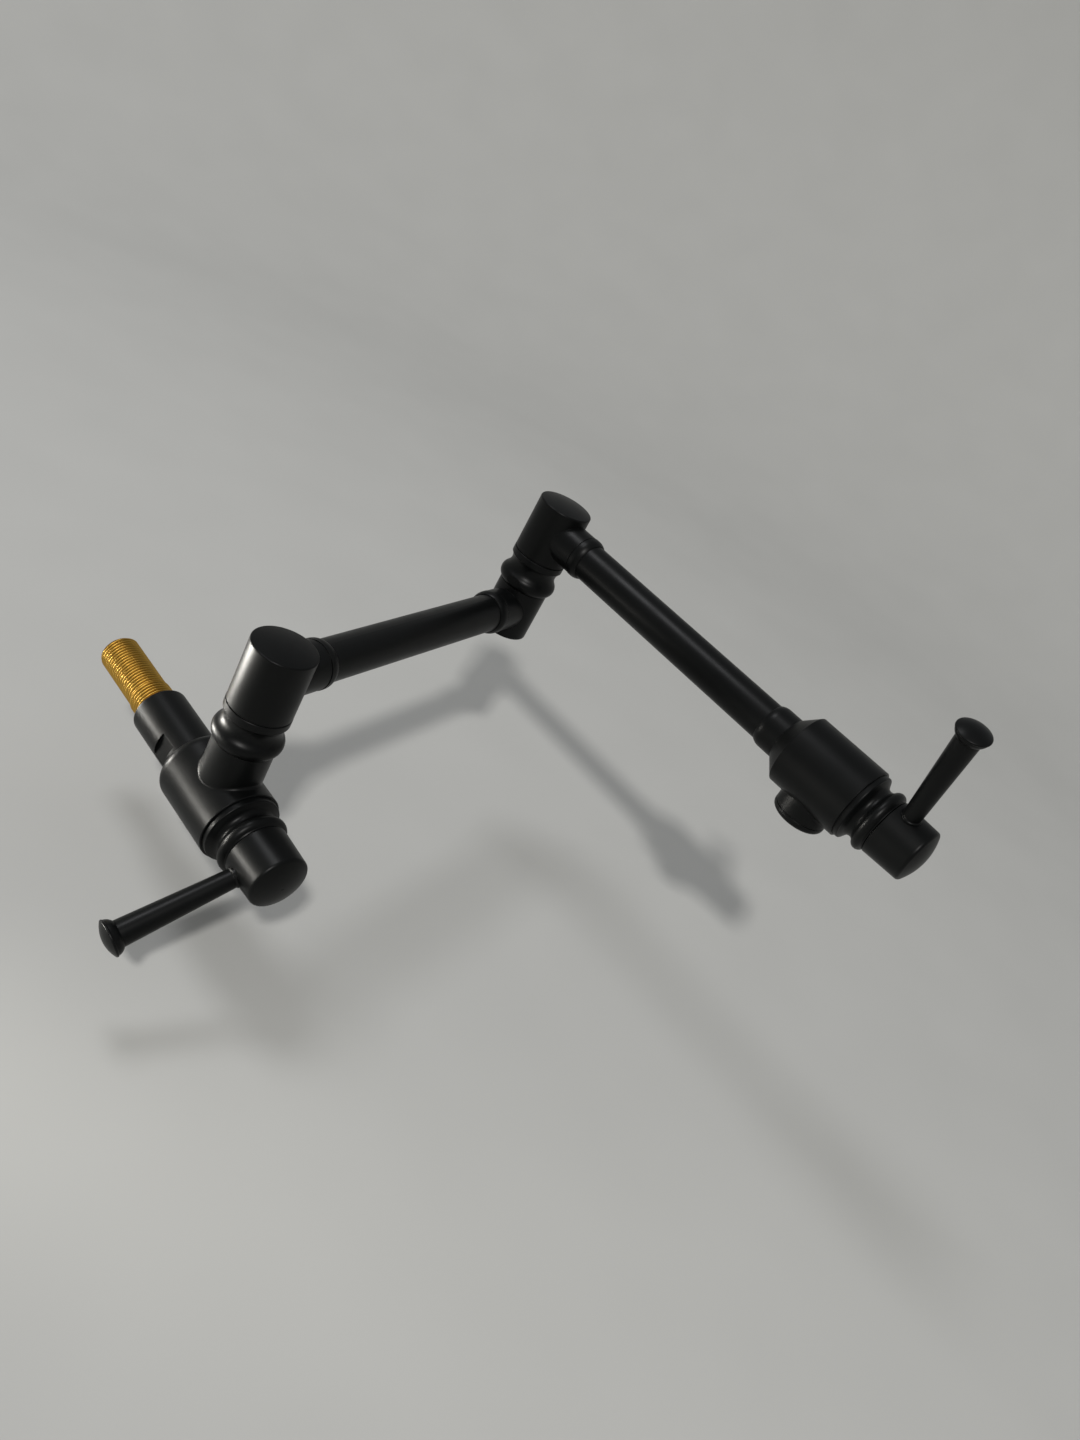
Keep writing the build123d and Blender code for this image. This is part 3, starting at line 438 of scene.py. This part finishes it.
# slot: name, darker and lighter colour, metallic, roughness, size of the grain in mm
INNER = {
    "inner_brass": ("machined_brass", "#cfae62", "#b99a55", 1.0, 0.28, 0.15),
    "seal_rubber": ("moulded_epdm_rubber", "#161616", "#1d1c1b", 0.0, 0.62, 0.08),
    "disc_ceramic": ("lapped_alumina", "#e8e5dc", "#efece6", 0.0, 0.22, 0.05),
    "washer_plastic": ("moulded_acetal", "#dedcd3", "#e6e4dc", 0.0, 0.42, 0.3),
    "aerator_plastic": ("moulded_grey_acetal", "#3a3b3d", "#434446", 0.0, 0.45, 0.3),
    "spring_steel": ("stamped_spring_steel", "#8d8f92", "#a0a2a4", 1.0, 0.32, 0.2),
}
finishes = {"black_coat": lacquer, "inlet_brass": brass}
for slot, (name, dark, light, metallic, roughness, grain_size) in INNER.items():
    material, tree, shader, place = new_material(name, Metallic=metallic)
    drift = add_node(tree, "ShaderNodeTexNoise", noise_of(place, INNER_DRIFT, 2))
    grain = add_node(tree, "ShaderNodeTexNoise", noise_of(place, grain_size, 2))
    tone = add_node(
        tree,
        "ShaderNodeMix",
        {"Factor": drift.outputs["Fac"], "A": linear(dark), "B": linear(light)},
        data_type="RGBA",
    )
    bump = add_node(
        tree,
        "ShaderNodeBump",
        {"Strength": 0.2, "Distance": FINE_RELIEF, "Height": grain.outputs["Fac"]},
    )
    rougher, smoother = roughness + ROUGHNESS_CHANGE, roughness - ROUGHNESS_CHANGE
    sheen = add_node(tree, "ShaderNodeMapRange", stretched(drift, smoother, rougher))
    tree.links.new(tone.outputs["Result"], shader.inputs["Base Color"])
    tree.links.new(sheen.outputs["Result"], shader.inputs["Roughness"])
    tree.links.new(bump.outputs["Normal"], shader.inputs["Normal"])
    finishes[slot] = material
print("finishes inside:", [material.name for material in finishes.values()])

# %% Give every CAD node its finish
for name, node in nodes.items():
    for material_slot in node.material_slots:
        material_slot.material = finishes[slot_of[name]]
print("finished", len(nodes), "CAD nodes")

# %% [markdown]
# ## Floor and backdrop
#
# The tap lies on a sheet of pale paper. A photographer's sweep is a floor that curves up into a
# wall, so that no edge shows. Here it is turned all the way round, like a wide bowl, because the
# tap is looked at from every side: a disc whose rim is pulled out and up along a quarter circle.
# It hides the horizon for a camera that looks down. A level camera sees the sky above its rim.

# %% Floor and backdrop
FLOOR_HEIGHT = -0.08
FLOOR_CENTRE = Vector((0.08, -0.13, FLOOR_HEIGHT))
FLOOR_RADIUS = 1.1
SWEEP = 0.9
SWEEP_STEPS = 16
FLOOR_SIDES = 128

bpy.ops.object.select_all(action="DESELECT")
bpy.ops.mesh.primitive_circle_add(
    vertices=FLOOR_SIDES, radius=FLOOR_RADIUS, fill_type="NGON", location=FLOOR_CENTRE
)
floor = bpy.context.object
floor.name = "floor"
bpy.ops.object.mode_set(mode="EDIT")
bpy.ops.mesh.select_mode(type="EDGE")
radius = FLOOR_RADIUS
height = 0
for step in range(1, SWEEP_STEPS + 1):
    angle = math.pi / 2 * step / SWEEP_STEPS
    new_radius = FLOOR_RADIUS + SWEEP * math.sin(angle)
    new_height = SWEEP * (1 - math.cos(angle))
    bpy.ops.mesh.extrude_edges_move(
        TRANSFORM_OT_translate={"value": (0, 0, new_height - height)}
    )
    grow = new_radius / radius
    centre = FLOOR_CENTRE + Vector((0, 0, new_height))
    bpy.ops.transform.resize(value=(grow, grow, 1), center_override=centre)
    radius = new_radius
    height = new_height
bpy.ops.object.mode_set(mode="OBJECT")
bpy.ops.object.shade_smooth_by_angle(angle=SMOOTH_BELOW)
print("floor", round(2 * radius, 2), "m across with a wall", round(height, 2), "m high")

# %% Matt paper
FIBRE = 0.6
CREASE = 90
PAPER_RELIEF = 0.05 * MM

paper, tree, shader, place = new_material("matt_paper", Roughness=0.9, Specular_IOR_Level=0.2)
fibre = add_node(tree, "ShaderNodeTexNoise", noise_of(place, FIBRE, 3))
crease = add_node(tree, "ShaderNodeTexNoise", noise_of(place, CREASE, 1))
tone = add_node(
    tree,
    "ShaderNodeMix",
    {"Factor": crease.outputs["Fac"], "A": linear("#b3b3b0"), "B": linear("#b8b8b5")},
    data_type="RGBA",
)
bump = add_node(
    tree,
    "ShaderNodeBump",
    {"Strength": 0.1, "Distance": PAPER_RELIEF, "Height": fibre.outputs["Fac"]},
)
tree.links.new(tone.outputs["Result"], shader.inputs["Base Color"])
tree.links.new(bump.outputs["Normal"], shader.inputs["Normal"])
floor.data.materials.append(paper)
print(paper.name, "has", len(tree.nodes), "nodes")

# %% [markdown]
# ## Lamps
#
# In the photograph the main light is high and to the left, behind the photographer, and bright
# paper at table height draws a soft streak along each round part. A black coat shows little
# else, so the streaks are what gives it its shape. Here a high softbox gives the main light, a
# ceiling softbox lights the domed tops, and two small strips near the floor stand in for the
# bright paper. The strips are narrowed so that they mostly miss the floor. A dim, even sky fills
# the shadows.
#
# The real paper was tilted to the part's frame. A level floor is plainer and works from every
# side, but its shadows fall in other places than those of the photograph.


# %% Lamps
def softbox(name, place, target, size, power, colour):
    """A rectangular lamp that faces a point, and that the camera itself does not see."""
    aim = Vector(place) - Vector(target)
    bpy.ops.object.select_all(action="DESELECT")
    bpy.ops.object.light_add(
        type="AREA", location=place, rotation=aim.to_track_quat("Z", "Y").to_euler()
    )
    lamp = bpy.context.object
    lamp.name = name
    lamp.data.shape = "RECTANGLE"
    lamp.data.size, lamp.data.size_y = size
    lamp.data.energy = power
    lamp.data.color = linear(colour)[:3]
    lamp.visible_camera = False
    return lamp


TABLE = (0.08, -0.12, 0.02)
NARROW = math.radians(42)
WARM = "#fffcf4"
SKY = 0.33

softbox("high_softbox", (-2.84, -2.09, 3.6), TABLE, (0.32, 0.32), 142, "#fffdfa")
softbox("ceiling_softbox", (-0.35, 0.74, 1.75), TABLE, (0.5, 0.5), 11, "#fbfcff")
strips = [
    softbox("back_strip", (-0.15, 0.158, -0.035), (0, -0.08, 0.09), (0.1, 0.05), 0.18, WARM),
    softbox("left_strip", (-0.31, 0.06, -0.04), (-0.08, -0.2, 0), (0.12, 0.05), 0.24, WARM),
]
for strip in strips:
    strip.data.spread = NARROW

world = bpy.data.worlds.new("studio")
bpy.context.scene.world = world
world.use_nodes = True
background = world.node_tree.nodes["Background"]
background.inputs["Color"].default_value = linear("#f4f6f8")
background.inputs["Strength"].default_value = SKY

# %% [markdown]
# ## Finish
#
# The colours are shown as they are, so the view transform is Standard. The visual model has to
# fill the same box as the CAD model.

# %% Finish
bpy.context.scene.view_settings.view_transform = "Standard"
